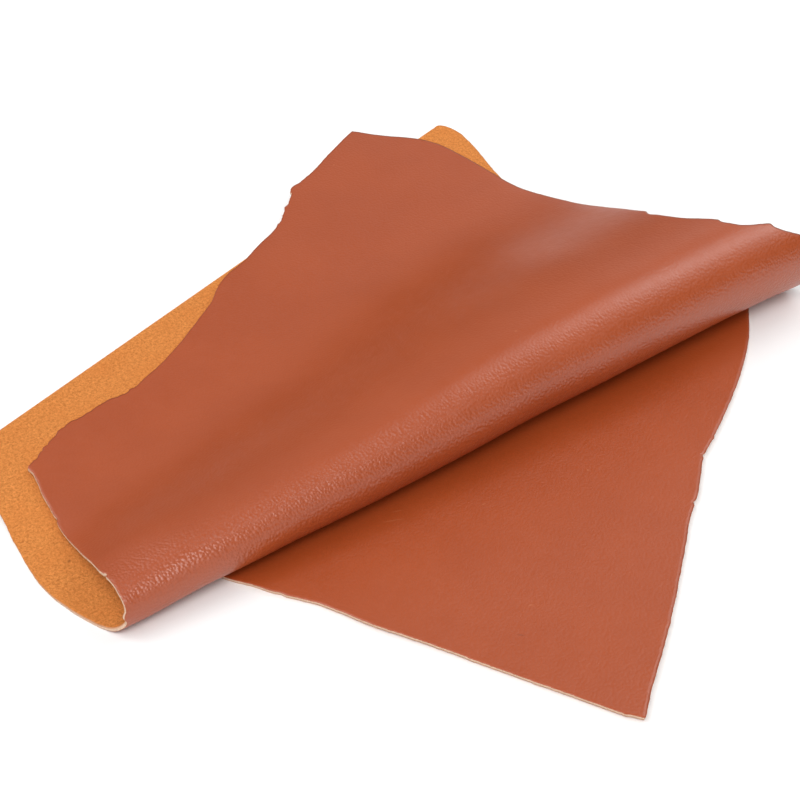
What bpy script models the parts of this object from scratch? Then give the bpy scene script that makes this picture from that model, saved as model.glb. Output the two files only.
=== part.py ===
"""A cut piece of leather hide, 2 mm thick, folded in three like a letter.

The hide is one sheet. It is described flat, as it is cut, and then bent along two
folds. The rear fold is tight, with the grain side inside, and sends the bottom flap
back under the middle panel. The front fold is a loose roll, with the grain side
outside, which grows from left to right and brings the top flap back over the middle.

In the flat sheet "along" runs along the front fold and "across" runs over the folds.
On the middle panel both are also the plan position, X and Y, of the folded hide.
"""

import math

import bpy
import numpy as np

MM = 0.001

THICKNESS = 2.0 * MM
LAYER_GAP = 0.6 * MM
PITCH = THICKNESS + LAYER_GAP

# The folded hide is moved by this much, so that its box stands on the origin.
CENTRE_ALONG = 187.96 * MM
CENTRE_ACROSS = 46.33 * MM

# Section of a fold, for a roll one unit high. The sheet turns through half a circle
# over TURN_LENGTH, and then leans down over LEAN_LENGTH until it lies flat again.
TURN_LENGTH = 1.0
LEAN_START = 0.4
LEAN_LENGTH = 2.4
STEEPEST_LEAN = 1.2
SECTION_STEPS = 600

# Front roll: its height grows along the fold, and the line where the middle panel
# leaves the surface drifts back with it.
ROLL_SMALL = 18 * MM
ROLL_LARGE = 46 * MM
ROLL_GROWS_FROM = -90 * MM
ROLL_GROWS_OVER = 420 * MM
LIFT_LEFT = 10 * MM
LIFT_RIGHT = 27.2 * MM
LIFT_DRIFTS_FROM = -20 * MM
LIFT_DRIFTS_OVER = 380 * MM

# Rear fold: a straight line through one point of the bottom flap.
REAR_FOLD_HEIGHT = 3.8 * MM
REAR_FOLD_ANGLE = math.radians(16)
REAR_FOLD_ALONG = -14 * MM
REAR_FOLD_ACROSS = 140.5 * MM

# Where the middle panel reaches past the bottom flap, it sinks to the surface, but
# not near the rear fold, which holds it up.
SINK_LENGTH = 40 * MM
HELD_BEFORE_FOLD = 15 * MM
# The top flap rises softly to the rear fold, and sags a little past it.
RISE_LENGTH = 60 * MM
SAG = 1.0 * MM
SAG_LENGTH = 45 * MM

# Outline of the flat sheet in mm, one table for each side.
# Left side, from the top flap to the bottom flap: (across, along).
LEFT_SIDE = (
    (-144, 5), (-121.5, -1), (-100, -5.3), (-90, -7.4), (-77, -9), (-54, -12),
    (-24.5, -14.2), (-7, -16), (3, -20.5), (10, -23.2), (26, -27.4), (44, -29.6),
    (56.5, -28.4), (74, -26), (97, -21.5), (125, -19.5), (170, -23), (240, -37),
    (296, -47), (340, -48), (369, -52), (392, -54), (425, -58), (460, -61.5),
    (495, -64),
)
# Right side, from the top flap to the bottom flap: (across, along).
RIGHT_SIDE = (
    (-324, 308.5), (-310, 318), (-292, 334), (-281, 339.7), (-265, 343.3),
    (-245, 345.6), (-214, 347), (-185, 353), (-141.5, 355.7), (-106, 353.6),
    (-86, 356.6), (-67, 366), (-58, 373), (-48, 388), (-41, 397.3), (-15, 405),
    (15, 404), (60, 395), (105, 379), (143, 361), (176, 350), (207.5, 357.5),
    (227.5, 362), (239.5, 363), (248, 358.5), (256, 348.5), (264, 340),
    (270.5, 332), (287, 317), (310, 299), (345.5, 278), (383, 263), (425, 251),
    (450, 245), (469, 241),
)
# End of the top flap, from left to right: (along, across).
TOP_FLAP_END = (
    (5, -144), (16, -151.5), (32, -162.5), (45.5, -167), (72, -172.5),
    (82.5, -177.5), (131.5, -209.5), (156.5, -230.5), (167.5, -238.5),
    (210, -260), (230.5, -278), (241, -290), (251.5, -295.5), (281, -311),
    (308.5, -324),
)
# End of the bottom flap, from left to right: (along, across).
BOTTOM_FLAP_END = (
    (-64, 495), (-19, 491.5), (45.5, 484), (75.5, 481), (111, 477),
    (147, 478), (189, 478), (214.5, 475), (241, 469),
)

# Where the sides of the bottom flap lie under the middle panel: (y, x) in mm.
BOTTOM_FLAP_LEFT = ((-30, 40), (146, -13))
BOTTOM_FLAP_RIGHT = ((6, 374), (47, 359), (89, 347), (130, 340), (171, 340), (222, 346), (245, 349))

# Rows of faces in each zone, from the top flap to the bottom flap, and columns.
TOP_FLAP_ROWS = 4
ROLL_ROWS = 30
MIDDLE_ROWS = 10
REAR_FOLD_ROWS = 14
BOTTOM_FLAP_ROWS = 12
COLUMNS = 26

NORMAL_STEP = 0.05 * MM
SHARP_ANGLE = math.radians(60)
SOLVER_ROUNDS = 60

GRAIN_COLOUR = (0.44, 0.105, 0.042, 1.0)
LEATHER_ROUGHNESS = 0.45


def ease(share):
    """Go from 0 to 1 with a soft start and a soft end."""
    share = np.clip(share, 0.0, 1.0)
    return share * share * (3.0 - 2.0 * share)


def swell(share):
    """Rise from 0 to 1 and fall back to 0, softly at both ends."""
    return np.sin(math.pi * np.clip(share, 0.0, 1.0)) ** 2


def fold_section():
    """Return length, reach, height and landing share along a fold one unit high."""
    length = np.linspace(0.0, LEAN_START + LEAN_LENGTH, SECTION_STEPS + 1)
    step = length[1] - length[0]
    turn = math.pi * ease(length / TURN_LENGTH)
    lean = swell((length - LEAN_START) / LEAN_LENGTH)

    def trace(lean_angle):
        angle = turn + lean_angle * lean
        middle = (angle[1:] + angle[:-1]) / 2
        reach = np.concatenate(([0.0], np.cumsum(np.cos(middle)))) * step
        height = np.concatenate(([0.0], np.cumsum(np.sin(middle)))) * step
        return reach, height

    low, high = 0.0, STEEPEST_LEAN
    for _ in range(SOLVER_ROUNDS):
        lean_angle = (low + high) / 2
        if trace(lean_angle)[1][-1] > 0:
            low = lean_angle
        else:
            high = lean_angle
    reach, height = trace(lean_angle)
    scale = 1.0 / height.max()
    landing = ease((length - LEAN_START) / LEAN_LENGTH)
    return length * scale, reach * scale, height * scale, landing


SECTION_LENGTH, SECTION_REACH, SECTION_HEIGHT, SECTION_LANDING = fold_section()
FOLD_LENGTH = SECTION_LENGTH[-1]
CREST = int(SECTION_HEIGHT.argmax())
REAR_NORMAL = (-math.sin(REAR_FOLD_ANGLE), math.cos(REAR_FOLD_ANGLE))


def curve(table, value):
    """Read a smooth curve through a table of (position, value) rows in mm."""
    knots, heights = np.array(table, dtype=float).T * MM
    slopes = np.gradient(heights, knots)
    value = np.clip(value, knots[0], knots[-1])
    i = np.clip(np.searchsorted(knots, value) - 1, 0, len(knots) - 2)
    span = knots[i + 1] - knots[i]
    t = (value - knots[i]) / span
    start = (1 + 2 * t) * (1 - t) ** 2 * heights[i] + t * (1 - t) ** 2 * span * slopes[i]
    end = t * t * (3 - 2 * t) * heights[i + 1] - t * t * (1 - t) * span * slopes[i + 1]
    return start + end


def roll_height(along):
    """Height of the front roll at a place along it."""
    return ROLL_SMALL + (ROLL_LARGE - ROLL_SMALL) * ease((along - ROLL_GROWS_FROM) / ROLL_GROWS_OVER)


def lift_line(along):
    """Across position where the front roll leaves the surface."""
    return LIFT_LEFT + (LIFT_RIGHT - LIFT_LEFT) * ease((along - LIFT_DRIFTS_FROM) / LIFT_DRIFTS_OVER)


def roll_line(along, length):
    """Across position of a line that lies a given unit length into the front roll."""
    return lift_line(along) - length * roll_height(along)


def past_rear_fold(along, across):
    """Distance of a plan position behind the line where the rear fold leaves the surface."""
    return (along - REAR_FOLD_ALONG) * REAR_NORMAL[0] + (across - REAR_FOLD_ACROSS) * REAR_NORMAL[1]


def rear_line(along, length):
    """Across position of a line that lies a given unit length before the rear fold's foot."""
    flat_distance = REAR_FOLD_HEIGHT * (SECTION_REACH[-1] + FOLD_LENGTH - length)
    shift = (flat_distance - (along - REAR_FOLD_ALONG) * REAR_NORMAL[0]) / REAR_NORMAL[1]
    return REAR_FOLD_ACROSS + shift


def on_bottom_flap(x, y):
    """Share, 0 to 1, of how far a plan position is held up by the bottom flap."""
    outside = np.maximum(curve(BOTTOM_FLAP_LEFT, y) - x, x - curve(BOTTOM_FLAP_RIGHT, y))
    before_fold = -past_rear_fold(x, y) - HELD_BEFORE_FOLD
    return 1.0 - ease(outside / SINK_LENGTH) * ease(before_fold / SINK_LENGTH)


def rear_ridge(x, y):
    """Height that the rear fold adds under the top flap."""
    distance = past_rear_fold(x, y)
    crest = REAR_FOLD_HEIGHT - PITCH * (1.0 - SECTION_LANDING[CREST])
    rise = crest * ease(1.0 + distance / RISE_LENGTH)
    return rise - SAG * np.clip(distance / SAG_LENGTH, 0.0, None) ** 2


def fold(along, across):
    """Place flat positions on the middle surface of the folded hide."""
    roll = roll_height(along)
    lift = lift_line(along)
    into_roll = np.maximum(lift - across, 0.0)
    unit = into_roll / roll
    past_landing = np.maximum(into_roll - roll * FOLD_LENGTH, 0.0)
    front_y = lift - roll * np.interp(unit, SECTION_LENGTH, SECTION_REACH) + past_landing
    y = np.where(into_roll > 0, front_y, across)
    z = THICKNESS / 2 + PITCH * on_bottom_flap(along, y)
    z = z + roll * np.interp(unit, SECTION_LENGTH, SECTION_HEIGHT)
    z = z + PITCH * np.interp(unit, SECTION_LENGTH, SECTION_LANDING)
    z = z + rear_ridge(along, y) * ease(unit / FOLD_LENGTH)

    into_fold = past_rear_fold(along, across) - REAR_FOLD_HEIGHT * SECTION_REACH[-1]
    to_foot = REAR_FOLD_HEIGHT * FOLD_LENGTH - into_fold
    rear_unit = to_foot / REAR_FOLD_HEIGHT
    reach = REAR_FOLD_HEIGHT * np.interp(rear_unit, SECTION_LENGTH, SECTION_REACH)
    plan = reach + np.minimum(to_foot, 0.0) - REAR_FOLD_HEIGHT * SECTION_REACH[-1]
    rear_z = REAR_FOLD_HEIGHT * np.interp(rear_unit, SECTION_LENGTH, SECTION_HEIGHT)
    rear_z = rear_z + PITCH * np.interp(rear_unit, SECTION_LENGTH, SECTION_LANDING)

    rear = (into_fold > 0) & (into_roll <= 0)
    x = np.where(rear, along + (plan - into_fold) * REAR_NORMAL[0], along)
    y = np.where(rear, across + (plan - into_fold) * REAR_NORMAL[1], y)
    z = np.where(rear, THICKNESS / 2 + rear_z, z)
    return np.stack((x - CENTRE_ALONG, y - CENTRE_ACROSS, z), axis=-1)


def crossing(line, side):
    """Find where a line over the sheet meets its left or right side."""
    along = 0.0
    for _ in range(SOLVER_ROUNDS):
        across = line(along)
        along = float(curve(side, across))
    return across


def patch(start, end, left, right, rows):
    """Fill a zone of the flat sheet between four border curves, each over shares 0 to 1."""
    s = np.linspace(0.0, 1.0, rows + 1)[:, None, None]
    t = np.linspace(0.0, 1.0, COLUMNS + 1)[None, :, None]
    start_row, end_row = start(t[..., 0]), end(t[..., 0])
    left_column, right_column = left(s[..., 0]), right(s[..., 0])
    corners = (1 - s) * ((1 - t) * start_row[:, :1] + t * start_row[:, -1:])
    corners = corners + s * ((1 - t) * end_row[:, :1] + t * end_row[:, -1:])
    return (1 - s) * start_row + s * end_row + (1 - t) * left_column + t * right_column - corners


def side_between(side, start, end):
    """Return the border curve of a side between two positions across the sheet."""
    def border(share):
        across = start + (end - start) * share
        return np.stack((curve(side, across), across), axis=-1)
    return border


def line_between(line, start, end):
    """Return the border curve of a line across the sheet between its two sides."""
    along_start, along_end = curve(LEFT_SIDE, start), curve(RIGHT_SIDE, end)

    def border(share):
        along = along_start + (along_end - along_start) * share
        return np.stack((along, line(along)), axis=-1)
    return border


def flat_grid():
    """Return the flat sheet as a grid of (along, across) points, row by row."""
    lines = (
        (lambda along: curve(TOP_FLAP_END, along), TOP_FLAP_ROWS),
        (lambda along: roll_line(along, FOLD_LENGTH), ROLL_ROWS),
        (lambda along: roll_line(along, 0.0), MIDDLE_ROWS),
        (lambda along: rear_line(along, FOLD_LENGTH), REAR_FOLD_ROWS),
        (lambda along: rear_line(along, 0.0), BOTTOM_FLAP_ROWS),
        (lambda along: curve(BOTTOM_FLAP_END, along), 0),
    )
    lefts = [LEFT_SIDE[0][0] * MM]
    rights = [RIGHT_SIDE[0][0] * MM]
    for line, _ in lines[1:-1]:
        lefts.append(crossing(line, LEFT_SIDE))
        rights.append(crossing(line, RIGHT_SIDE))
    lefts.append(LEFT_SIDE[-1][0] * MM)
    rights.append(RIGHT_SIDE[-1][0] * MM)
    borders = [line_between(line, lefts[i], rights[i]) for i, (line, _) in enumerate(lines)]
    zones = []
    for i, (_, rows) in enumerate(lines[:-1]):
        left = side_between(LEFT_SIDE, lefts[i], lefts[i + 1])
        right = side_between(RIGHT_SIDE, rights[i], rights[i + 1])
        zone = patch(borders[i], borders[i + 1], left, right, rows)
        zones.append(zone if i == 0 else zone[1:])
    return np.concatenate(zones)


def sheet_faces(rows, columns):
    """Return the faces that close the grain side, the flesh side and the cut edge."""
    width = columns + 1
    flesh = (rows + 1) * width
    faces = []
    for row in range(rows):
        for column in range(columns):
            a = row * width + column
            b, c, d = a + 1, a + width + 1, a + width
            faces.append((a, d, c, b))
            faces.append((flesh + a, flesh + b, flesh + c, flesh + d))
    border = list(range(columns))
    border += [row * width + columns for row in range(rows)]
    border += [rows * width + column for column in range(columns, 0, -1)]
    border += [row * width for row in range(rows, 0, -1)]
    for here, there in zip(border, border[1:] + border[:1]):
        faces.append((here, there, flesh + there, flesh + here))
    return faces


def leather_material():
    """Brown leather as its grain side looks."""
    material = bpy.data.materials.new("leather")
    material.use_nodes = True
    shader = material.node_tree.nodes["Principled BSDF"]
    shader.inputs["Base Color"].default_value = GRAIN_COLOUR
    shader.inputs["Roughness"].default_value = LEATHER_ROUGHNESS
    shader.inputs["Metallic"].default_value = 0.0
    return material


def make_hide():
    """Build the folded hide as one closed sheet."""
    grid = flat_grid()
    along, across = grid[..., 0], grid[..., 1]
    middle = fold(along, across)
    along_slope = fold(along + NORMAL_STEP, across) - fold(along - NORMAL_STEP, across)
    across_slope = fold(along, across + NORMAL_STEP) - fold(along, across - NORMAL_STEP)
    normal = np.cross(along_slope, across_slope)
    normal /= np.linalg.norm(normal, axis=-1, keepdims=True)
    grain = middle - normal * THICKNESS / 2
    flesh = middle + normal * THICKNESS / 2
    points = np.concatenate((grain.reshape(-1, 3), flesh.reshape(-1, 3)))
    rows, columns = grid.shape[0] - 1, grid.shape[1] - 1
    mesh = bpy.data.meshes.new("hide")
    mesh.from_pydata(points.tolist(), [], sheet_faces(rows, columns))
    mesh.materials.append(leather_material())
    mesh.shade_smooth()
    mesh.set_sharp_from_angle(angle=SHARP_ANGLE)
    hide = bpy.data.objects.new("hide", mesh)
    bpy.context.scene.collection.objects.link(hide)
    return hide


def main():
    for old in list(bpy.data.objects):
        bpy.data.objects.remove(old, do_unlink=True)
    make_hide()


main()
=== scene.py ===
"""Folded leather hide: an add-on that makes the sheet, its finishes and a white table."""

import math

import bpy
import numpy as np
from bpy.props import FloatProperty, FloatVectorProperty, PointerProperty
from bpy.types import Operator, Panel, PropertyGroup
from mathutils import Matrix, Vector
from mathutils.geometry import delaunay_2d_cdt
from mathutils.noise import noise


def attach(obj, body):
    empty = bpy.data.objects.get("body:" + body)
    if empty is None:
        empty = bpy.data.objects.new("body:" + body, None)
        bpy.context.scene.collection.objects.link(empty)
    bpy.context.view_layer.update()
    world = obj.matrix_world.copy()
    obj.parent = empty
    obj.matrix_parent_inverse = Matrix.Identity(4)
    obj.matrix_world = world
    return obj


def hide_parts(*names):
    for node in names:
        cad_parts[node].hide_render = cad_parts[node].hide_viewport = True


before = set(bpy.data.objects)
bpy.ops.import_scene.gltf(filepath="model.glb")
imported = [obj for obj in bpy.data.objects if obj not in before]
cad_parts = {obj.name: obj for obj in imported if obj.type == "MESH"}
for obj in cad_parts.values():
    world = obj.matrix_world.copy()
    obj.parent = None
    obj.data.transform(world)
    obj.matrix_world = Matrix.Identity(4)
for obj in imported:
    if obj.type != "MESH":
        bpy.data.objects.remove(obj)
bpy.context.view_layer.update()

bl_info = {
    "name": "Folded leather hide",
    "version": (1, 0, 0),
    "blender": (4, 5, 0),
    "location": "View3D > Sidebar > Hide",
    "description": "Makes a cut piece of leather, folded in three, on a white table",
    "category": "Add Mesh",
}

MM = 0.001

# The folded hide stands centred on the origin.
CENTRE_ALONG = 187.96 * MM
CENTRE_ACROSS = 46.33 * MM

# Section of a fold, for a roll one unit high.
TURN_LENGTH = 1.0
LEAN_START = 0.4
LEAN_LENGTH = 2.4
STEEPEST_LEAN = 1.2
SECTION_STEPS = 600
SOLVER_ROUNDS = 60

# Where the roll grows along the fold, and where the line that it leaves the table at drifts.
ROLL_GROWS_FROM = -90 * MM
ROLL_GROWS_OVER = 420 * MM
LIFT_LEFT = 10 * MM
LIFT_RIGHT = 27.2 * MM
LIFT_DRIFTS_FROM = -20 * MM
LIFT_DRIFTS_OVER = 380 * MM

# Rear fold: a straight line through one point of the bottom flap.
REAR_FOLD_ANGLE = math.radians(16)
REAR_FOLD_ALONG = -14 * MM
REAR_FOLD_ACROSS = 140.5 * MM
REAR_NORMAL = (-math.sin(REAR_FOLD_ANGLE), math.cos(REAR_FOLD_ANGLE))

# Where the middle panel reaches past the bottom flap it sinks to the table, but not near the rear fold.
SINK_LENGTH = 40 * MM
HELD_BEFORE_FOLD = 15 * MM
# The top flap rises softly to the rear fold, and sags a little past it.
RISE_LENGTH = 60 * MM
SAG = 1.0 * MM
SAG_LENGTH = 45 * MM

# Outline of the flat sheet in mm. Left side, from the top flap to the bottom flap: (across, along).
LEFT_SIDE = (
    (-145, 7), (-143.8, 4.7), (-136.6, 2.6), (-121.4, -0.9), (-100.6, -5.2), (-95.9, -6.4),
    (-90.1, -7.4), (-77.2, -8.9), (-53.7, -12), (-35, -13.7), (-24.4, -14.2), (-14.8, -15),
    (-7, -16), (-2.9, -18.2), (3.4, -20.8), (9.9, -23.2), (26.1, -27.4), (43.8, -29.7),
    (56.5, -28.4), (73.6, -25.8), (96.9, -21.5), (125, -19.5), (170, -23), (240, -37),
    (296.4, -47.1), (312.2, -47.2), (325.4, -48), (340.3, -47.8), (354.8, -49.8), (369, -52.4),
    (392.4, -54.1), (425.1, -57.8), (459.9, -61.4), (489.1, -64.2), (495, -64),
)
# Right side, from the top flap to the bottom flap: (across, along).
RIGHT_SIDE = (
    (-324, 308.5), (-310.1, 318.1), (-292.2, 333.8), (-281, 339.7), (-264.6, 343.2),
    (-245.1, 345.6), (-224.1, 346.4), (-214, 347), (-200.6, 350.2), (-185.4, 353.2),
    (-171.4, 354.6), (-141.5, 356), (-122, 355.0), (-114.5, 354.7), (-111.5, 352.9),
    (-102.4, 353.2), (-86.2, 356.4), (-73.4, 363.8), (-70.6, 365), (-68.4, 364.4), (-64.7, 366.3),
    (-57.8, 372.4), (-53.2, 384.2), (-50.6, 384.9), (-46, 389.4), (-41.1, 397.3), (-15, 405),
    (15, 404), (60, 395), (105, 379), (143, 361), (176.4, 350), (187.5, 352), (207.6, 357.6),
    (227.5, 362.2), (239.5, 363.3), (248, 358.7), (256, 348.5), (264, 340), (270.5, 332),
    (287, 317), (310, 299), (345.5, 278), (383, 263), (425, 251), (450, 245), (469, 241),
)
# End of the top flap, from left to right: (along, across).
TOP_FLAP_END = (
    (7, -145), (15.9, -151.6), (21.5, -155.8), (32, -162.7), (45.6, -167.1), (59.1, -171),
    (72.1, -172.1), (82.3, -177.4), (131.7, -209.7), (146, -220.4), (156.5, -231.2),
    (167.4, -238.4), (181.7, -244.7), (196, -252.7), (209.9, -259.8), (219.4, -266.9),
    (230.7, -277.8), (238.2, -285.3), (241.3, -290.4), (251.7, -295.4), (266.8, -302.7),
    (281.2, -310.8), (295, -317.7), (308.5, -324),
)
# End of the bottom flap, from left to right: (along, across).
BOTTOM_FLAP_END = (
    (-64, 495), (-44.1, 492.9), (-19, 491.5), (8.2, 488.9), (45.3, 484.2), (66.7, 481.4),
    (75.6, 481.1), (92.7, 479.3), (110.8, 476.7), (125.7, 477.5), (163.4, 478.6), (188.8, 477.8),
    (214.5, 475.1), (241, 469),
)
# Where the sides of the bottom flap lie under the middle panel: (y, x) in mm.
BOTTOM_FLAP_LEFT = ((-30, 40), (146, -13))
BOTTOM_FLAP_RIGHT = ((6, 374), (47, 359), (89, 347), (130, 340), (171, 340), (222, 346), (245, 349))

# How the knife and handling marked the outline, in mm: (side, place along it, depth, half width).
# A depth below nothing is a burr that stands out.
NICKS = (
    ("left", -101.6, 0.7, 2.6),
    ("left", -36.3, 1.5, 1.3),
    ("left", -12.5, -1.4, 2.6),
    ("left", 324.0, 0.5, 3.0),
    ("left", 487.0, -0.5, 2.0),
    ("top", 16.4, -0.8, 2.2),
    ("top", 28.0, -0.7, 1.8),
    ("top", 72.6, -1.0, 1.8),
    ("top", 219.0, 0.5, 1.6),
    ("top", 229.0, -0.5, 1.4),
    ("top", 239.0, 0.5, 1.6),
    ("bottom", 111.4, 1.2, 1.8),
    ("bottom", 76.2, 1.1, 1.6),
    ("bottom", 126.0, -0.5, 2.0),
)

# Spacing of the sheet's points, in mm.
EDGE_STEP = 1.0 * MM
EDGE_MARGIN = 1.3 * MM
PANEL_STEP = 4.0 * MM
COLUMN_STEP = 3.2 * MM
ROLL_ROWS = 90
REAR_ROWS = 46
MIDDLE_ROWS = 26

# The cut edge from the grain face to the flesh face: (share of the thickness, how far out in mm).
EDGE_PROFILE = (
    (0.0, -0.16), (0.08, -0.02), (0.3, 0.04), (0.55, 0.05), (0.8, 0.0), (0.94, -0.08), (1.0, -0.22),
)

# How far the knife leaned on each side, in mm that the flesh face stands out past the grain face:
# (place along the side, lean).
EDGE_LEAN = {
    "top": ((0, 0.0), (1, 0.0)),
    "right": ((100, 0.0), (240, -1.3)),
    "bottom": ((0, -1.3), (1, -1.3)),
    "left": ((12, 0.0), (40, 0.5), (150, 0.5), (240, -0.5)),
}
# Where the edge is torn rather than cut: (side, from, to, times as ragged).
TORN = (("top", 6, 44, 5.0), ("top", 44, 76, 3.0), ("top", 214, 243, 4.5), ("left", -20, 0, 1.6))
# Unevenness of the cut edge: (size of a lump in mm, its height in mm, layer of the noise).
WOBBLE = (9.0, 0.28, 3.1)
FIBRES = (2.6, 0.16, 8.7)
FLESH_FIBRES = (1.3, 0.18, 5.0)
SIDE_FIBRES = (1.1, 0.09, 20.0)
SIDE_FIBRES_TURN = 9.0

# The grain's rim gets painted shade: darkest on edges that face this heading, away from the camera, and
# lighter where they face the other way.
RIM_SHADE_HEADING = math.radians(50)
RIM_SHADE_MIDDLE = 0.35

# How finely the outline's tables are read, and how the points inside it are kept clear of it.
SIDE_READINGS = 4000
POINTS_AT_ONCE = 400
RING_CLEARANCE = 0.8
GRID_CLEARANCE = 1.7
SAME_POINT = 1e-7
# The roll's rows lie closer together where it bends most.
ROLL_ROW_BUNCHING = 1.35
PANEL_ROWS = 120

NORMAL_STEP = 0.05 * MM

# The mesh holds each point's flat place and depth, and how dark the painted shade on its rim is.
PLACE = "flat_place"
RIM_SHADE = "rim"


def ease(share):
    """Go from 0 to 1 with a soft start and a soft end."""
    share = np.clip(share, 0.0, 1.0)
    return share * share * (3.0 - 2.0 * share)


def swell(share):
    """Rise from 0 to 1 and fall back to 0, softly at both ends."""
    return np.sin(math.pi * np.clip(share, 0.0, 1.0)) ** 2


def fold_section():
    """Return length, reach, height and landing share along a fold one unit high."""
    length = np.linspace(0.0, LEAN_START + LEAN_LENGTH, SECTION_STEPS + 1)
    step = length[1] - length[0]
    turn = math.pi * ease(length / TURN_LENGTH)
    lean = swell((length - LEAN_START) / LEAN_LENGTH)

    def trace(lean_angle):
        angle = turn + lean_angle * lean
        middle = (angle[1:] + angle[:-1]) / 2
        reach = np.concatenate(([0.0], np.cumsum(np.cos(middle)))) * step
        height = np.concatenate(([0.0], np.cumsum(np.sin(middle)))) * step
        return reach, height

    low, high = 0.0, STEEPEST_LEAN
    for _ in range(SOLVER_ROUNDS):
        lean_angle = (low + high) / 2
        if trace(lean_angle)[1][-1] > 0:
            low = lean_angle
        else:
            high = lean_angle
    reach, height = trace(lean_angle)
    scale = 1.0 / height.max()
    landing = ease((length - LEAN_START) / LEAN_LENGTH)
    return length * scale, reach * scale, height * scale, landing


SECTION_LENGTH, SECTION_REACH, SECTION_HEIGHT, SECTION_LANDING = fold_section()
FOLD_LENGTH = SECTION_LENGTH[-1]
CREST = int(SECTION_HEIGHT.argmax())


def curve(table, value):
    """Read a smooth curve through a table of (position, value) rows in mm."""
    knots, heights = np.array(table, dtype=float).T * MM
    slopes = np.gradient(heights, knots)
    value = np.clip(value, knots[0], knots[-1])
    i = np.clip(np.searchsorted(knots, value) - 1, 0, len(knots) - 2)
    span = knots[i + 1] - knots[i]
    t = (value - knots[i]) / span
    start = (1 + 2 * t) * (1 - t) ** 2 * heights[i] + t * (1 - t) ** 2 * span * slopes[i]
    end = t * t * (3 - 2 * t) * heights[i + 1] - t * t * (1 - t) * span * slopes[i + 1]
    return start + end


def waves(x, y, rows):
    """Add up slow waves: each row is (length in mm, heading in degrees, phase, height in mm)."""
    total = np.zeros(np.broadcast(x, y).shape)
    for length, heading, phase, height in rows:
        a = math.radians(heading)
        run = (x * math.cos(a) + y * math.sin(a)) / (length * MM)
        total += height * MM * np.sin(run * 2 * math.pi + phase)
    return total


# Slow waves of the roll's height, of its place and of the panels.
ROLL_WAVES = ((173, 0, 0.4, 0.22), (97, 0, 2.0, 0.14), (61, 0, 4.1, 0.08))
LIFT_WAVES = ((210, 0, 1.1, 0.5), (118, 0, 3.3, 0.3), (67, 0, 0.2, 0.15))
PANEL_WAVES = ((190, 34, 0.8, 0.2), (131, -48, 2.6, 0.15), (88, 78, 4.4, 0.1), (57, 12, 1.7, 0.05))


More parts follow.
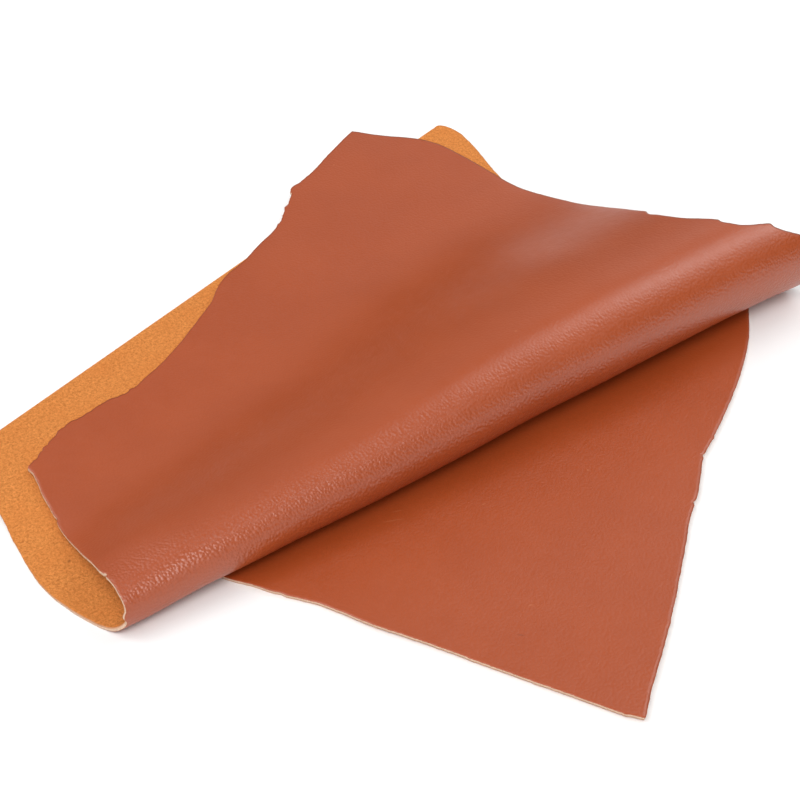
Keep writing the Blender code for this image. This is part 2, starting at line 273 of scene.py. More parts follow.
class Fold:
    """The sheet's folds: takes flat places to folded ones."""

    def __init__(self, sheet):
        self.thickness = sheet.thickness
        self.pitch = sheet.thickness + sheet.layer_gap
        self.roll_small = sheet.roll_small
        self.roll_large = sheet.roll_large
        self.rear_height = sheet.rear_fold_height
        self.unevenness = sheet.unevenness

    def roll_height(self, along):
        grown = ease((along - ROLL_GROWS_FROM) / ROLL_GROWS_OVER)
        waved = self.unevenness * waves(along, 0.0, ROLL_WAVES)
        return self.roll_small + (self.roll_large - self.roll_small) * grown + waved

    def lift_line(self, along):
        drift = ease((along - LIFT_DRIFTS_FROM) / LIFT_DRIFTS_OVER)
        waved = self.unevenness * waves(along, 0.0, LIFT_WAVES)
        return LIFT_LEFT + (LIFT_RIGHT - LIFT_LEFT) * drift + waved

    def roll_line(self, along, length):
        return self.lift_line(along) - length * self.roll_height(along)

    def past_rear_fold(self, along, across):
        return (along - REAR_FOLD_ALONG) * REAR_NORMAL[0] + (across - REAR_FOLD_ACROSS) * REAR_NORMAL[1]

    def rear_line(self, along, length):
        flat_distance = self.rear_height * (SECTION_REACH[-1] + FOLD_LENGTH - length)
        shift = (flat_distance - (along - REAR_FOLD_ALONG) * REAR_NORMAL[0]) / REAR_NORMAL[1]
        return REAR_FOLD_ACROSS + shift

    def on_bottom_flap(self, x, y):
        outside = np.maximum(curve(BOTTOM_FLAP_LEFT, y) - x, x - curve(BOTTOM_FLAP_RIGHT, y))
        before_fold = -self.past_rear_fold(x, y) - HELD_BEFORE_FOLD
        return 1.0 - ease(outside / SINK_LENGTH) * ease(before_fold / SINK_LENGTH)

    def rear_ridge(self, x, y):
        distance = self.past_rear_fold(x, y)
        crest = self.rear_height - self.pitch * (1.0 - SECTION_LANDING[CREST])
        rise = crest * ease(1.0 + distance / RISE_LENGTH)
        return rise - SAG * np.clip(distance / SAG_LENGTH, 0.0, None) ** 2

    def middle(self, along, across):
        """Place flat positions on the middle surface of the folded sheet."""
        roll = self.roll_height(along)
        lift = self.lift_line(along)
        into_roll = np.maximum(lift - across, 0.0)
        unit = into_roll / roll
        past_landing = np.maximum(into_roll - roll * FOLD_LENGTH, 0.0)
        front_y = lift - roll * np.interp(unit, SECTION_LENGTH, SECTION_REACH) + past_landing
        y = np.where(into_roll > 0, front_y, across)
        z = self.thickness / 2 + self.pitch * self.on_bottom_flap(along, y)
        z = z + roll * np.interp(unit, SECTION_LENGTH, SECTION_HEIGHT)
        z = z + self.pitch * np.interp(unit, SECTION_LENGTH, SECTION_LANDING)
        z = z + self.rear_ridge(along, y) * ease(unit / FOLD_LENGTH)
        lift_share = ease((unit - 1.0) / 2.0)
        uneven = waves(along, y, PANEL_WAVES) + 0.5 * MM
        z = z + self.unevenness * lift_share * uneven

        into_fold = self.past_rear_fold(along, across) - self.rear_height * SECTION_REACH[-1]
        to_foot = self.rear_height * FOLD_LENGTH - into_fold
        rear_unit = to_foot / self.rear_height
        reach = self.rear_height * np.interp(rear_unit, SECTION_LENGTH, SECTION_REACH)
        plan = reach + np.minimum(to_foot, 0.0) - self.rear_height * SECTION_REACH[-1]
        rear_z = self.rear_height * np.interp(rear_unit, SECTION_LENGTH, SECTION_HEIGHT)
        rear_z = rear_z + self.pitch * np.interp(rear_unit, SECTION_LENGTH, SECTION_LANDING)

        rear = (into_fold > 0) & (into_roll <= 0)
        x = np.where(rear, along + (plan - into_fold) * REAR_NORMAL[0], along)
        y = np.where(rear, across + (plan - into_fold) * REAR_NORMAL[1], y)
        open_share = ease((-10 * MM - y) / (60 * MM)) * rear
        rear_z = rear_z + self.unevenness * open_share * (waves(x, y, PANEL_WAVES) + 0.5 * MM)
        z = np.where(rear, self.thickness / 2 + rear_z, z)
        return np.stack((x - CENTRE_ALONG, y - CENTRE_ACROSS, z), axis=-1)

    def slopes(self, along, across):
        """Return how the folded place moves with along and with across."""
        by_along = self.middle(along + NORMAL_STEP, across) - self.middle(along - NORMAL_STEP, across)
        by_across = self.middle(along, across + NORMAL_STEP) - self.middle(along, across - NORMAL_STEP)
        return by_along / (2 * NORMAL_STEP), by_across / (2 * NORMAL_STEP)


def unit_vectors(vectors):
    return vectors / np.linalg.norm(vectors, axis=-1, keepdims=True)


def walk(points, step):
    """Space points evenly along a line, without its last point."""
    run = np.concatenate(([0.0], np.cumsum(np.linalg.norm(np.diff(points, axis=0), axis=1))))
    count = int(round(run[-1] / step))
    places = np.linspace(0.0, run[-1], count, endpoint=False)
    return np.stack([np.interp(places, run, points[:, k]) for k in (0, 1)], axis=1)


def side_line(table, swapped):
    """Return a side of the outline as many close (along, across) points."""
    start, end = table[0][0] * MM, table[-1][0] * MM
    position = np.linspace(start, end, SIDE_READINGS)
    value = curve(table, position)
    return np.stack((value, position) if swapped else (position, value), axis=1)


def along_edge(points, lumps, layer=0.0):
    """Return noise at flat places, in metres: lumps is (size, height, layer of the noise)."""
    size, height, first_layer = lumps
    found = [noise(Vector((a / size, b / size, first_layer + layer))) for a, b in points / MM]
    return height * np.array(found) * MM


def outline(roughness):
    """Return the flat sheet's outline as a closed loop, its outward directions and the knife's lean."""
    lines = (
        ("top", side_line(TOP_FLAP_END, False), 0),
        ("right", side_line(RIGHT_SIDE, True), 1),
        ("bottom", side_line(BOTTOM_FLAP_END, False)[::-1], 0),
        ("left", side_line(LEFT_SIDE, True)[::-1], 1),
    )
    points, cuts, leans, torn = [], [], [], []
    for side, line, axis in lines:
        spaced = walk(line, EDGE_STEP)
        place = spaced[:, axis] / MM
        cut = np.zeros(len(spaced))
        for nick_side, middle, depth, half_width in NICKS:
            if nick_side == side:
                cut += depth * MM * np.clip(1.0 - np.abs(place - middle) / half_width, 0.0, None)
        times = np.ones(len(spaced))
        for torn_side, start, end, share in TORN:
            if torn_side == side:
                times[(place > start) & (place < end)] = share
        points.append(spaced)
        cuts.append(cut)
        leans.append(np.interp(place, *zip(*EDGE_LEAN[side])) * MM)
        torn.append(times)
    points, cuts, leans, torn = (np.concatenate(parts) for parts in (points, cuts, leans, torn))
    ahead = unit_vectors(np.roll(points, -2, axis=0) - np.roll(points, 2, axis=0))
    outward = np.stack((ahead[:, 1], -ahead[:, 0]), axis=1)
    ragged = along_edge(points, WOBBLE) + along_edge(points, FIBRES) * torn
    points = points + outward * (ragged * roughness - cuts)[:, None]
    return points, outward, leans


def inside_by(points, loop, margin):
    """Tell which points lie inside a loop and further than a margin from it."""
    start, end = loop, np.roll(loop, -1, axis=0)
    span = end - start
    kept = []
    # A level stretch is never straddled, so what it is divided by doesn't matter.
    rise = np.where(span[:, 1] == 0, 1.0, span[:, 1])
    for chunk in np.array_split(points, max(1, len(points) // POINTS_AT_ONCE)):
        px, py = chunk[:, None, 0], chunk[:, None, 1]
        straddles = (start[:, 1] > py) != (end[:, 1] > py)
        cross_x = start[:, 0] + span[:, 0] * (py - start[:, 1]) / rise
        inside = (straddles & (px < cross_x)).sum(axis=1) % 2 == 1
        near = ((px - start[:, 0]) ** 2 + (py - start[:, 1]) ** 2).min(axis=1)
        kept.append(inside & (near > margin * margin))
    return np.concatenate(kept)


def rows_over(fold, along):
    """Return the across positions of the sheet's rows at each column."""
    rows = []
    start = fold.roll_line(along, FOLD_LENGTH)
    rows += [start - k * PANEL_STEP for k in range(PANEL_ROWS, 0, -1)]
    share = np.linspace(0.0, 1.0, ROLL_ROWS + 1)
    bent = share ** ROLL_ROW_BUNCHING
    rows += [fold.roll_line(along, FOLD_LENGTH * s) for s in bent[::-1]]
    front, rear = fold.roll_line(along, 0.0), fold.rear_line(along, FOLD_LENGTH)
    rows += [front + (rear - front) * k / MIDDLE_ROWS for k in range(1, MIDDLE_ROWS)]
    rows += [fold.rear_line(along, FOLD_LENGTH * (1 - k / REAR_ROWS)) for k in range(REAR_ROWS + 1)]
    end = fold.rear_line(along, 0.0)
    rows += [end + k * PANEL_STEP for k in range(1, PANEL_ROWS)]
    return np.array(rows)


def flat_points(fold, roughness):
    """Return the flat sheet's points, the outline's first, and its triangles."""
    loop, outward, lean = outline(roughness)
    ring = loop - outward * EDGE_MARGIN
    low, high = loop.min(axis=0), loop.max(axis=0)
    along = np.arange(low[0], high[0], COLUMN_STEP)
    across = rows_over(fold, along)
    grid = np.stack((np.broadcast_to(along, across.shape), across), axis=-1)
    grid = grid.reshape(-1, 2)
    grid = grid[(grid[:, 1] > low[1]) & (grid[:, 1] < high[1])]
    grid = grid[inside_by(grid, loop, EDGE_MARGIN * GRID_CLEARANCE)]
    ring = ring[inside_by(ring, loop, EDGE_MARGIN * RING_CLEARANCE)]
    points = np.concatenate((loop, ring, grid))
    count = len(loop)
    edges = [(k, (k + 1) % count) for k in range(count)]
    flat = [Vector(p) for p in (points / MM).tolist()]
    found, _, faces, origin, _, _ = delaunay_2d_cdt(flat, edges, [], 1, SAME_POINT)
    new_place = {}
    for new, olds in enumerate(origin):
        for old in olds:
            new_place[old] = new
    border = [new_place[k] for k in range(count)]
    return np.array(found) * MM, faces, border, outward, lean


def strip_faces(loops):
    """Return the quads between closed loops of points that follow each other."""
    faces = []
    for upper, lower in zip(loops, loops[1:]):
        for k in range(len(upper)):
            n = (k + 1) % len(upper)
            faces.append((upper[k], upper[n], lower[n], lower[k]))
    return faces


def build_mesh(fold, roughness):
    """Build the folded sheet: grain face, flesh face and cut edge."""
    flat, triangles, border, outward, lean = flat_points(fold, roughness)
    along, across = flat[:, 0], flat[:, 1]
    middle = fold.middle(along, across)
    by_along, by_across = fold.slopes(along, across)
    normal = unit_vectors(np.cross(by_along, by_across))
    count, loop_size = len(flat), len(border)
    half = fold.thickness / 2

    out = unit_vectors(outward[:, :1] * by_along[border] + outward[:, 1:] * by_across[border])
    grain, flesh = middle - normal * half, middle + normal * half
    fibre = along_edge(flat[border], FLESH_FIBRES)
    grain[border] += out * (EDGE_PROFILE[0][1] * MM - lean / 2)[:, None]
    flesh[border] += out * (EDGE_PROFILE[-1][1] * MM + lean / 2 + fibre)[:, None]
    strips = []
    for share, stand in EDGE_PROFILE[1:-1]:
        uneven = roughness * along_edge(flat[border], SIDE_FIBRES, SIDE_FIBRES_TURN * share)
        at = middle[border] + normal[border] * (2 * share - 1) * half
        strips.append(at + out * (stand * MM + lean * (share - 0.5) + uneven)[:, None])
    points = np.concatenate([grain, flesh] + strips)

    faces = []
    for a, b, c in triangles:
        faces.append((a, c, b))
        faces.append((count + a, count + b, count + c))
    strip_starts = [2 * count + k * loop_size for k in range(len(strips))]
    loops = [border] + [list(range(start, start + loop_size)) for start in strip_starts]
    cut_edge = strip_faces(loops + [[count + b for b in border]])
    finish = [0, 1] * len(triangles) + [2] * len(cut_edge)

    mesh = bpy.data.meshes.new("hide_sheet")
    mesh.from_pydata(points.tolist(), [], faces + cut_edge)
    mesh.polygons.foreach_set("material_index", finish)
    place = np.zeros((len(points), 3))
    place[:count, :2] = flat
    place[count:2 * count, :2] = flat
    place[count:2 * count, 2] = fold.thickness
    for start, (share, _) in zip(strip_starts, EDGE_PROFILE[1:-1]):
        place[start:start + loop_size, :2] = flat[border]
        place[start:start + loop_size, 2] = share * fold.thickness
    held = mesh.attributes.new(PLACE, "FLOAT_VECTOR", "POINT")
    held.data.foreach_set("vector", place.astype(np.float32).ravel())
    # Painted shade on the rim: strongest on border points that face the rim heading, away from the camera.
    towards = out[:, 0] * math.cos(RIM_SHADE_HEADING) + out[:, 1] * math.sin(RIM_SHADE_HEADING)
    rim = np.zeros(len(points), dtype=np.float32)
    rim[border] = np.clip(RIM_SHADE_MIDDLE + (1.0 - RIM_SHADE_MIDDLE) * towards, 0.0, 1.0)
    mesh.attributes.new(RIM_SHADE, "FLOAT", "POINT").data.foreach_set("value", rim)
    mesh.shade_smooth()
    mesh.validate()
    if any(edge.is_loose for edge in mesh.edges):
        raise RuntimeError("the sheet has loose edges")
    return mesh


class Nodes:
    """Tools for a tree of nodes."""

    def __init__(self, tree):
        self.tree = tree

    def add(self, kind, **sockets):
        node = self.tree.nodes.new(kind)
        for name, value in sockets.items():
            node.inputs[name.replace("_", " ")].default_value = value
        return node

    def link(self, out, into):
        self.tree.links.new(out, into)

    def math(self, operation, *values, clamp=False):
        node = self.add("ShaderNodeMath")
        node.operation = operation
        node.use_clamp = clamp
        for socket, value in zip(node.inputs, values):
            if isinstance(value, (int, float)):
                socket.default_value = value
            else:
                self.link(value, socket)
        return node.outputs[0]


class Finish(Nodes):
    """One finish of the leather."""

    def __init__(self, name, dimensions="2D"):
        self.material = bpy.data.materials.new(name)
        self.material.use_nodes = True
        super().__init__(self.material.node_tree)
        self.dimensions = dimensions
        self.shader = self.tree.nodes["Principled BSDF"]
        self.place = self.add("ShaderNodeAttribute")
        self.place.attribute_name = PLACE
        split = self.add("ShaderNodeSeparateXYZ")
        self.link(self.place.outputs["Vector"], split.inputs[0])
        self.across, self.depth = split.outputs["Y"], split.outputs["Z"]

    def noise(self, size, detail=3.0, roughness=0.55, distortion=0.0):
        """Noise whose lumps are about size metres."""
        node = self.add("ShaderNodeTexNoise", Scale=1.0 / size, Detail=detail, Roughness=roughness,
                        Distortion=distortion)
        node.noise_dimensions = self.dimensions
        self.link(self.place.outputs["Vector"], node.inputs["Vector"])
        return node.outputs[0]

    def cells(self, size, feature="F1", smoothness=1.0):
        """Cells about size metres apart."""
        node = self.add("ShaderNodeTexVoronoi", Scale=1.0 / size)
        node.voronoi_dimensions = self.dimensions
        node.feature = feature
        if feature == "SMOOTH_F1":
            node.inputs["Smoothness"].default_value = smoothness
        self.link(self.place.outputs["Vector"], node.inputs["Vector"])
        return node.outputs["Distance"]

    def span(self, value, low, high, to_low=0.0, to_high=1.0):
        node = self.add("ShaderNodeMapRange", From_Min=low, From_Max=high, To_Min=to_low, To_Max=to_high)
        node.clamp = True
        self.link(value, node.inputs["Value"])
        return node.outputs["Result"]

    def mix(self, share, a, b):
        node = self.tree.nodes.new("ShaderNodeMix")
        node.data_type = "RGBA"
        for socket, value in (("Factor_Float", share), ("A_Color", a), ("B_Color", b)):
            target = next(s for s in node.inputs if s.identifier == socket)
            if hasattr(value, "is_linked"):
                self.link(value, target)
            elif isinstance(value, (int, float)):
                target.default_value = value
            else:
                target.default_value = (*value[:3], 1.0)
        return next(s for s in node.outputs if s.identifier == "Result_Color")

    def marks(self, colour, rows, light, dark):
        """Lay small soft marks on a colour."""
        for along, across, half_length, half_width, heading, strength in rows:
            spot = self.add("ShaderNodeMapping",
                            Location=(along * MM, across * MM, 0.0),
                            Rotation=(0.0, 0.0, math.radians(heading)),
                            Scale=(half_length * MM, half_width * MM, 1.0))
            spot.vector_type = "TEXTURE"
            self.link(self.place.outputs["Vector"], spot.inputs["Vector"])
            length = self.tree.nodes.new("ShaderNodeVectorMath")
            length.operation = "LENGTH"
            self.link(spot.outputs["Vector"], length.inputs[0])
            share = self.span(length.outputs["Value"], 0.3, 1.2, abs(strength), 0.0)
            colour = self.mix(share, colour, light if strength > 0 else dark)
        return colour

    def bump(self, height, distance):
        """Raise the surface by a height of up to distance metres."""
        node = self.add("ShaderNodeBump", Strength=1.0, Distance=distance)
        self.link(height, node.inputs["Height"])
        self.link(node.outputs["Normal"], self.shader.inputs["Normal"])


# Small marks of handling, in mm on the flat sheet, and degrees:
# (along, across, half length, half width, heading, strength). A strength below nothing is a dark mark.
GRAIN_MARKS = (
    (14.3, 352.5, 3.6, 0.35, 56, 0.28),
    (16.6, 355.8, 3.0, 0.30, 60, 0.22),
    (21.9, 353.0, 3.2, 0.30, 52, 0.26),
    (40.9, 389.3, 1.6, 0.40, 30, 0.30),
    (81.8, 427.8, 0.7, 0.60, 0, 0.35),
    (-16.4, 430.6, 1.4, 0.45, 60, 0.30),
    (-35.7, 432.2, 1.9, 0.50, 80, -0.35),
    (221.7, -61.0, 0.8, 0.60, 0, 0.35),
    (277.1, -299.1, 0.7, 0.55, 0, 0.35),
)
FLESH_MARKS = (
    (-12.0, 49.9, 1.1, 0.7, 20, -0.55),
    (10.0, 75.0, 0.8, 0.5, 50, -0.30),
)


# Line that the front roll bends round on the flat sheet, and how far from it the pebble stands out.
BEND_ACROSS = -25 * MM
BEND_FULL = 7 * MM
BEND_GONE = 26 * MM
FLAT_PEBBLE = 0.3

# Sizes of what shows in the finishes.
GRAIN_CLOUDS = 45 * MM
GRAIN_SPOTS = 3.5 * MM
PEBBLE = 1.5 * MM
PEBBLE_SOFTNESS = 0.35
PEBBLE_FINE = 0.6 * MM
GLOSS_PATCHES = 6 * MM
NAP = 1.8 * MM
NAP_TUFTS = 1.1 * MM
NAP_CLOUDS = 16 * MM
EDGE_FIBRE = 0.8 * MM
EDGE_FIBRE_HEIGHT = 0.3 * MM

# Depths in the cut edge: where the grain's dye ends, and where the painted shade at the flesh's nap begins.
DYE_FULL = 0.25 * MM
DYE_GONE = 0.5 * MM
NAP_SHADE_BEGINS = 1.35 * MM
NAP_SHADE_FULL = 2.0 * MM


def grain_finish(colours):
    """Smooth brown grain: faint pebble, faint mottling, satin gloss and painted shade on the rim."""
    made = Finish("leather_grain")
    clouds, spots = made.noise(GRAIN_CLOUDS, 4.0), made.noise(GRAIN_SPOTS, 3.0)
    colour = made.mix(made.span(clouds, 0.35, 0.65), colours.grain_dark, colours.grain)
    colour = made.mix(made.span(spots, 0.55, 0.8, 0.0, 0.25), colour, colours.grain_dark)
    colour = made.marks(colour, GRAIN_MARKS, colours.mark_light, colours.dark_mark_and_rim_shade)
    # Painted shade: the grain's rim is darkened towards the dark mark colour, most on edges facing away
    # from the camera.
    rim = made.add("ShaderNodeAttribute")
    rim.attribute_name = RIM_SHADE
    colour = made.mix(made.span(rim.outputs["Fac"], 0.25, 0.95, 0.0, 0.75), colour, colours.dark_mark_and_rim_shade)
    made.link(colour, made.shader.inputs["Base Color"])

    pebble = made.cells(PEBBLE, feature="SMOOTH_F1", smoothness=PEBBLE_SOFTNESS)
    fine = made.noise(PEBBLE_FINE, 2.0)
    height = made.math("SUBTRACT", made.math("MULTIPLY", fine, 0.3), pebble)
    from_bend = made.math("ABSOLUTE", made.math("SUBTRACT", made.across, BEND_ACROSS))
    height = made.math("MULTIPLY", height, made.span(from_bend, BEND_FULL, BEND_GONE, 1.0, FLAT_PEBBLE))
    made.bump(height, colours.pebble_height)
    smooth, dull = colours.grain_roughness - 0.02, colours.grain_roughness + 0.03
    rough = made.span(made.noise(GLOSS_PATCHES, 3.0), 0.3, 0.7, smooth, dull)
    made.link(rough, made.shader.inputs["Roughness"])
    made.shader.inputs["Specular IOR Level"].default_value = 0.8
    return made.material


def flesh_finish(colours):
    """Orange tan nap of the flesh side: short fibres with flecks, and pits between them painted darker as
    shade.
    """
    made = Finish("leather_flesh")
    nap = made.noise(NAP, 5.0, 0.78)
    tufts = made.noise(NAP_TUFTS, 3.0, 0.6, 0.4)
    clouds = made.noise(NAP_CLOUDS, 3.0)
    fibres = made.math("MULTIPLY_ADD", tufts, 0.8, nap)
    # Painted shade: the nap is darker where its bump is lowest, in the pits between fibres, along with some
    # random darker fibres.
    colour = made.mix(made.span(fibres, 0.66, 1.12), colours.flesh_pit_shade, colours.flesh)
    colour = made.mix(made.span(clouds, 0.35, 0.68, 0.0, 0.30), colour, colours.flesh_red)
    colour = made.marks(colour, FLESH_MARKS, colours.mark_light, colours.dark_mark_and_rim_shade)
    made.link(colour, made.shader.inputs["Base Color"])
    made.bump(fibres, colours.nap_height)
    made.shader.inputs["Roughness"].default_value = 0.95
    made.shader.inputs["Specular IOR Level"].default_value = 0.1
    made.shader.inputs["Sheen Weight"].default_value = 0.08
    made.shader.inputs["Sheen Roughness"].default_value = 0.5
    made.shader.inputs["Sheen Tint"].default_value = (1.0, 0.62, 0.30, 1.0)
    return made.material


def edge_finish(colours):
    """Fibrous raw cut edge: dyed at the grain, pale in the middle, napped at the flesh and painted darker
    there as shade.
    """
    made = Finish("leather_cut_edge", "3D")
    fibre = made.noise(EDGE_FIBRE, 4.0, 0.7)
    depth = made.math("MULTIPLY_ADD", fibre, 0.5 * MM, made.depth)
    colour = made.mix(made.span(fibre, 0.3, 0.7), colours.edge_dark, colours.edge)
    colour = made.mix(made.span(depth, DYE_GONE, DYE_FULL), colour, colours.grain)
    # Painted shade: the cut edge darkens towards the flesh face, as if its fibres there lay in shadow.
    colour = made.mix(made.span(depth, NAP_SHADE_BEGINS, NAP_SHADE_FULL, 0.0, 0.7), colour, colours.flesh_pit_shade)
    made.link(colour, made.shader.inputs["Base Color"])
    made.bump(fibre, EDGE_FIBRE_HEIGHT)
    made.shader.inputs["Roughness"].default_value = 0.9
    made.shader.inputs["Specular IOR Level"].default_value = 0.2
    return made.material


def colour_property(name, description, default):
    return FloatVectorProperty(name=name, description=description, subtype="COLOR", size=3,
                               min=0.0, max=1.0, default=default)


def length_property(name, description, default):
    return FloatProperty(name=name, description=description, subtype="DISTANCE", unit="LENGTH", min=0.0,
                         default=default)


class HideSheetSettings(PropertyGroup):
    """Sizes of the folded sheet."""

    thickness: length_property("Thickness", "Thickness of the leather", 2.0 * MM)
    layer_gap: length_property("Layer gap", "Air between layers that lie on each other", 0.6 * MM)
    roll_small: length_property("Small roll", "Height of the front roll at its small end", 18 * MM)
    roll_large: length_property("Large roll", "Height of the front roll at its large end", 46 * MM)
    rear_fold_height: length_property("Rear fold", "Height of the tight rear fold", 3.8 * MM)
    unevenness: FloatProperty(name="Unevenness", description="Share of the sheet's slow waves", default=1.0)
    edge_roughness: FloatProperty(name="Edge roughness", description="Share of the cut edge's raggedness",
                                  default=1.0)


class HideColourSettings(PropertyGroup):
    """Colours of the leather."""

    grain: colour_property("Grain", "Grain side", (0.384, 0.0690, 0.0148))
    grain_dark: colour_property("Grain, dark", "Darker cast of the grain side", (0.366, 0.0640, 0.0130))
    flesh: colour_property("Flesh", "Nap of the flesh side", (0.81, 0.303, 0.077))
    # Painted shade in the nap's pits, also used for the painted shade on the cut edge near the flesh face.
    flesh_pit_shade: colour_property("Flesh, dark", "Pits between the fibres of the nap", (0.49, 0.156, 0.034))
    flesh_red: colour_property("Flesh, red", "Redder patches of the nap", (0.66, 0.205, 0.045))
    mark_light: colour_property("Mark, light", "Light scuffs", (0.62, 0.22, 0.10))
    # This colour serves for real dark marks and for the painted shade on the grain's rim.
    # dark_mark_and_rim_shade: colour_property("Mark, dark", "Dark marks and the burnished rim", (0.10,
    # 0.022, 0.010))
    dark_mark_and_rim_shade: colour_property("Mark, dark", "Dark marks and the burnished rim", (0.10, 0.022, 0.010))
    edge: colour_property("Cut edge", "Raw cut edge", (0.78, 0.56, 0.41))
    edge_dark: colour_property("Cut edge, dark", "Darker fibres of the cut edge", (0.56, 0.37, 0.26))
    pebble_height: length_property("Pebble", "Height of the grain's pebble", 0.24 * MM)
    nap_height: length_property("Nap", "Height of the flesh side's nap", 0.5 * MM)
    grain_roughness: FloatProperty(name="Grain roughness", description="Roughness of the grain's gloss",
                                   min=0.0, max=1.0, default=0.345)


class HideStageSettings(PropertyGroup):
    """Table, light and camera."""

    floor_size: length_property("Table size", "Side of the table top", 0.9)
    floor_colour: colour_property("Table", "Table top", (0.93, 0.93, 0.93))
    surround: FloatProperty(name="Surround", description="Strength of the light panels", default=1.19)
    camera_distance: length_property("Camera distance", "Distance of the camera from its aim", 1.0)
    camera_height: FloatProperty(name="Camera elevation", description="Angle of the camera above the table",
                                 subtype="ANGLE", default=math.radians(38))
    camera_turn: FloatProperty(name="Camera turn", description="Heading of the camera, from +Y towards +X",
                               subtype="ANGLE", default=math.radians(37.35))
    camera_lens: FloatProperty(name="Camera lens", description="Focal length in millimetres", default=90.0)


class HIDE_OT_sheet(Operator):
    """Make the folded leather sheet with its grain, flesh and cut-edge finishes"""

    bl_idname = "hide.sheet"
    bl_label = "Folded hide"

    def execute(self, context):
        sheet, colours = context.scene.hide_sheet, context.scene.hide_colours
        mesh = build_mesh(Fold(sheet), sheet.edge_roughness)
        for finish in (grain_finish, flesh_finish, edge_finish):
            mesh.materials.append(finish(colours))
        piece = bpy.data.objects.new("leather_hide", mesh)
        context.scene.collection.objects.link(piece)
        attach(piece, "root")
        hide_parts("hide")
        return {"FINISHED"}


# Place on the table that the camera looks at, and the width of its sensor in millimetres.
CAMERA_AIM = (-7.66 * MM, 9.37 * MM, 0.0)
CAMERA_SENSOR = 36.0


# Soft panels of light round the table: (lowest and highest elevation, from and to heading,
# in degrees from +X towards +Y, brightness).
LIGHT_PANELS = (
    (-2, 6, 85, 130, 0.2),
    (-2, 6, 130, 200, 0.1),
    (-2, 7, -88, -40, 1.2),
    (12, 22, -90, -65, 2.7),
    (6, 14, -10, 20, 0.2),
    (6, 14, 130, 200, 0.15),
    (14, 24, -10, 20, 0.3),
    (14, 24, 20, 50, 1.2),
    (14, 24, 130, 200, 0.15),
    (24, 34, -10, 15, 1.0),
    (34, 44, -50, -10, 0.5),
    (34, 44, -10, 15, 2.06),
    (34, 44, 130, 200, 0.7),
    (40, 68, 95, 270, 1.15),
    (26, 50, 92, 150, 1.3),
    (44, 53, -42, -10, 1.0),
    (44, 54, -10, 15, 3.7),
    (42, 54, 15, 32, 2.5),
    (44, 54, 200, 270, 4.6),
    (54, 64, -10, 20, 2.2),
    (54, 66, 20, 56, 1.5),
    (54, 66, 200, 270, 4.1),
    (14, 38, 46, 86, 0.24),
    (18, 40, 28, 50, 0.25),
    (36, 58, 64, 90, 0.35),
    (24, 42, 165, 265, 1.0),
    (54, 68, 95, 190, 1.4),
)
# How softly a panel fades out, in degrees up and round.
FADE_UP = 4.0
FADE_ROUND = 9.0


class Surround(Nodes):
    """The light that comes from all round."""

    def __init__(self, name):
        self.world = bpy.data.worlds.new(name)
        self.world.use_nodes = True
        super().__init__(self.world.node_tree)
        split = self.add("ShaderNodeSeparateXYZ")
        coords = self.add("ShaderNodeTexCoord")
        self.link(coords.outputs["Generated"], split.inputs[0])
        x, y, z = split.outputs
        self.elevation = self.math("DEGREES", self.math("ARCSINE", z))
        self.heading = self.math("DEGREES", self.math("ARCTAN2", y, x))

    def inside(self, value, reach, fade):
        """Share, with a soft edge, of being less than reach."""
        return self.math("DIVIDE", self.math("SUBTRACT", reach + fade, value), 2 * fade, clamp=True)

    def panel(self, low, high, start, end, brightness):
        up = self.math("ABSOLUTE", self.math("SUBTRACT", self.elevation, (low + high) / 2))
        turned = self.math("SUBTRACT", self.heading, (start + end) / 2)
        around = self.math("ABSOLUTE", self.math("WRAP", turned, 180.0, -180.0))
        share = self.math("MULTIPLY", self.inside(up, (high - low) / 2, FADE_UP),
                          self.inside(around, (end - start) / 2, FADE_ROUND))
        return self.math("MULTIPLY", share, brightness)


def studio_surround(strength):
    """Soft light panels all round, and plain white where the eye sees past the table."""
    made = Surround("studio_surround")
    total = 0.0
    for row in LIGHT_PANELS:
        total = made.math("ADD", made.panel(*row), total)
    seen = made.add("ShaderNodeLightPath").outputs["Is Camera Ray"]
    lit = made.math("MULTIPLY", made.math("SUBTRACT", 1.0, seen), total)
    brightness = made.math("ADD", seen, lit)
    background = made.tree.nodes["Background"]
    background.inputs["Color"].default_value = (1.0, 1.0, 1.0, 1.0)
    made.link(made.math("MULTIPLY", brightness, strength), background.inputs["Strength"])
    return made.world


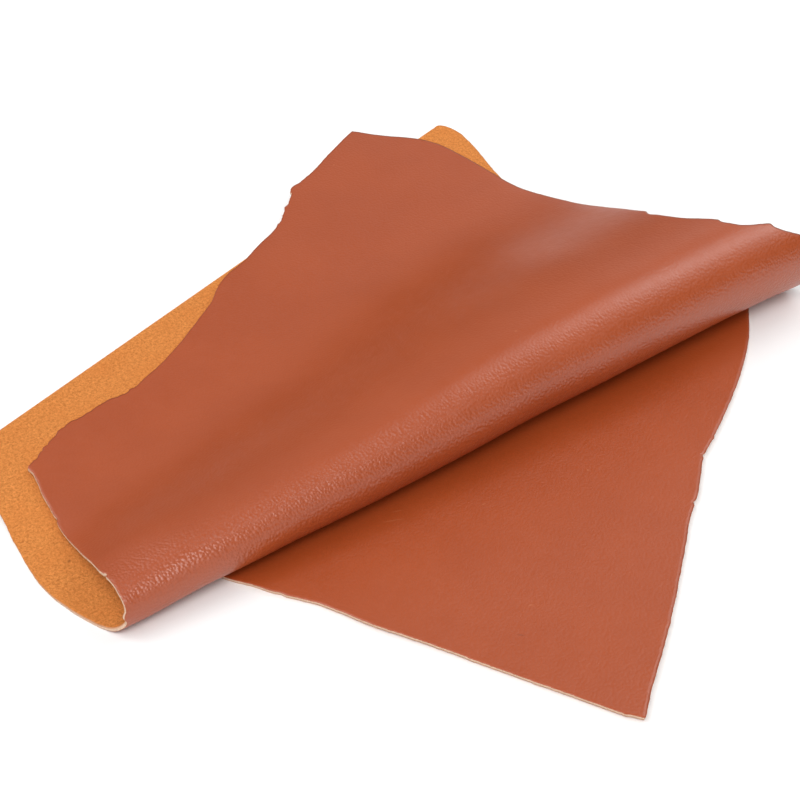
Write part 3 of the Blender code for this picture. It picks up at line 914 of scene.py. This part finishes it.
class HIDE_OT_stage(Operator):
    """Make the white table, the soft light and the camera"""

    bl_idname = "hide.stage"
    bl_label = "Table, light and camera"

    def execute(self, context):
        stage = context.scene.hide_stage
        half = stage.floor_size / 2
        mesh = bpy.data.meshes.new("table_top")
        corners = [(-half, -half, 0), (half, -half, 0), (half, half, 0), (-half, half, 0)]
        mesh.from_pydata(corners, [], [(0, 1, 2, 3)])
        material = bpy.data.materials.new("table_white")
        material.use_nodes = True
        shader = material.node_tree.nodes["Principled BSDF"]
        shader.inputs["Base Color"].default_value = (*stage.floor_colour, 1.0)
        shader.inputs["Roughness"].default_value = 0.7
        shader.inputs["Specular IOR Level"].default_value = 0.15
        mesh.materials.append(material)
        floor = bpy.data.objects.new("table_top", mesh)
        context.scene.collection.objects.link(floor)

        context.scene.world = studio_surround(stage.surround)

        lens = bpy.data.cameras.new("camera")
        lens.lens = stage.camera_lens
        lens.sensor_width = CAMERA_SENSOR
        lens.dof.use_dof = False
        camera = bpy.data.objects.new("camera", lens)
        ground = math.cos(stage.camera_height) * stage.camera_distance
        rise = math.sin(stage.camera_height) * stage.camera_distance
        back = Vector((-math.sin(stage.camera_turn) * ground, -math.cos(stage.camera_turn) * ground, rise))
        camera.location = Vector(CAMERA_AIM) + back
        camera.rotation_euler = (math.pi / 2 - stage.camera_height, 0.0, -stage.camera_turn)
        context.scene.collection.objects.link(camera)
        context.scene.camera = camera
        context.scene.view_settings.view_transform = "Standard"
        context.scene.view_settings.look = "None"
        return {"FINISHED"}


class HIDE_PT_panel(Panel):
    """Lists what the add-on makes"""

    bl_idname = "HIDE_PT_panel"
    bl_label = "Folded leather hide"
    bl_space_type = "VIEW_3D"
    bl_region_type = "UI"
    bl_category = "Hide"

    def draw(self, context):
        for operator, settings in OPERATORS:
            box = self.layout.box()
            box.operator(operator.bl_idname)
            for name in settings:
                group = getattr(context.scene, name)
                for prop in group.bl_rna.properties.keys():
                    if prop not in ("rna_type", "name"):
                        box.prop(group, prop)


OPERATORS = (
    (HIDE_OT_sheet, ("hide_sheet", "hide_colours")),
    (HIDE_OT_stage, ("hide_stage",)),
)
SETTINGS = (
    ("hide_sheet", HideSheetSettings),
    ("hide_colours", HideColourSettings),
    ("hide_stage", HideStageSettings),
)
CLASSES = (
    *(group for _, group in SETTINGS),
    *(operator for operator, _ in OPERATORS),
    HIDE_PT_panel,
)


def register():
    for cls in CLASSES:
        bpy.utils.register_class(cls)
    for name, group in SETTINGS:
        setattr(bpy.types.Scene, name, PointerProperty(type=group))


def unregister():
    for name, _ in SETTINGS:
        delattr(bpy.types.Scene, name)
    for cls in reversed(CLASSES):
        bpy.utils.unregister_class(cls)


def main():
    register()
    bpy.ops.hide.sheet()
    bpy.ops.hide.stage()


if __name__ == "__main__":
    main()
